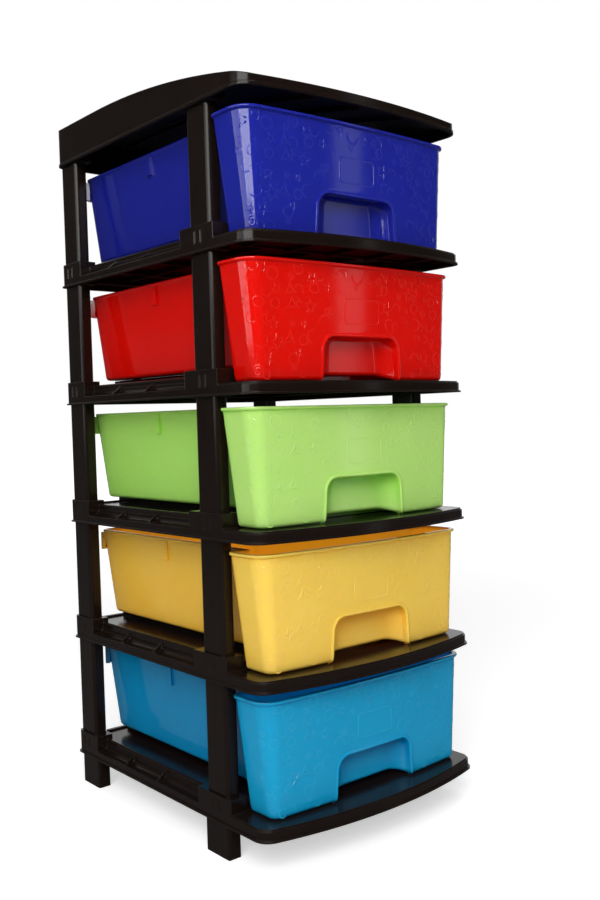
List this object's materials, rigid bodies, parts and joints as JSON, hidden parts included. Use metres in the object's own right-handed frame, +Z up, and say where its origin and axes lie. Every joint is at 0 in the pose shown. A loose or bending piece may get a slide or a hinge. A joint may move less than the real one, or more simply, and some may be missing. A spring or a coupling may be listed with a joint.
{
  "type": "plastic drawer tower",
  "caption": "Tall open-sided plastic tower with a stack of coloured pull-out drawers on moulded shelves, posts at the corners and a cover on top.",
  "frame": {"origin": "on the floor, under the middle of the tower's plan", "axes": "+Z up, -Y out of the drawer fronts, +X to the right seen from the front"},
  "size_m": [0.299, 0.391, 0.7815],
  "materials": {
    "frame_black": "glossy black moulded polypropylene",
    "drawer_blue": "deep blue moulded polypropylene, slightly translucent",
    "drawer_red": "red moulded polypropylene, slightly translucent",
    "drawer_green": "light green moulded polypropylene, slightly translucent",
    "drawer_yellow": "warm yellow moulded polypropylene, slightly translucent",
    "drawer_sky": "sky blue moulded polypropylene, slightly translucent"
  },
  "bodies": {
    "frame": {"top_cover": "frame_black", "shelf_1": "frame_black", "shelf_2": "frame_black", "shelf_3": "frame_black", "shelf_4": "frame_black", "shelf_5": "frame_black", "post_1_front_left": "frame_black", "post_1_front_right": "frame_black", "post_1_rear_left": "frame_black", "post_1_rear_right": "frame_black", "post_2_front_left": "frame_black", "post_2_front_right": "frame_black", "post_2_rear_left": "frame_black", "post_2_rear_right": "frame_black", "post_3_front_left": "frame_black", "post_3_front_right": "frame_black", "post_3_rear_left": "frame_black", "post_3_rear_right": "frame_black", "post_4_front_left": "frame_black", "post_4_front_right": "frame_black", "post_4_rear_left": "frame_black", "post_4_rear_right": "frame_black", "post_5_front_left": "frame_black", "post_5_front_right": "frame_black", "post_5_rear_left": "frame_black", "post_5_rear_right": "frame_black", "foot_front_left": "frame_black", "foot_front_right": "frame_black", "foot_rear_left": "frame_black", "foot_rear_right": "frame_black"},
    "drawer_1_blue": {"drawer_1_blue": "drawer_blue"},
    "drawer_2_red": {"drawer_2_red": "drawer_red"},
    "drawer_3_green": {"drawer_3_green": "drawer_green"},
    "drawer_4_yellow": {"drawer_4_yellow": "drawer_yellow"},
    "drawer_5_sky": {"drawer_5_sky": "drawer_sky"}
  },
  "joints": [
    {"name": "drawer_1_slide", "type": "slide", "parent": "frame", "child": "drawer_1_blue", "axis": [0, -1, 0], "range_m": [0, 0.2]},
    {"name": "drawer_2_slide", "type": "slide", "parent": "frame", "child": "drawer_2_red", "axis": [0, -1, 0], "range_m": [0, 0.2]},
    {"name": "drawer_3_slide", "type": "slide", "parent": "frame", "child": "drawer_3_green", "axis": [0, -1, 0], "range_m": [0, 0.2]},
    {"name": "drawer_4_slide", "type": "slide", "parent": "frame", "child": "drawer_4_yellow", "axis": [0, -1, 0], "range_m": [0, 0.2]},
    {"name": "drawer_5_slide", "type": "slide", "parent": "frame", "child": "drawer_5_sky", "axis": [0, -1, 0], "range_m": [0, 0.2]}
  ]
}
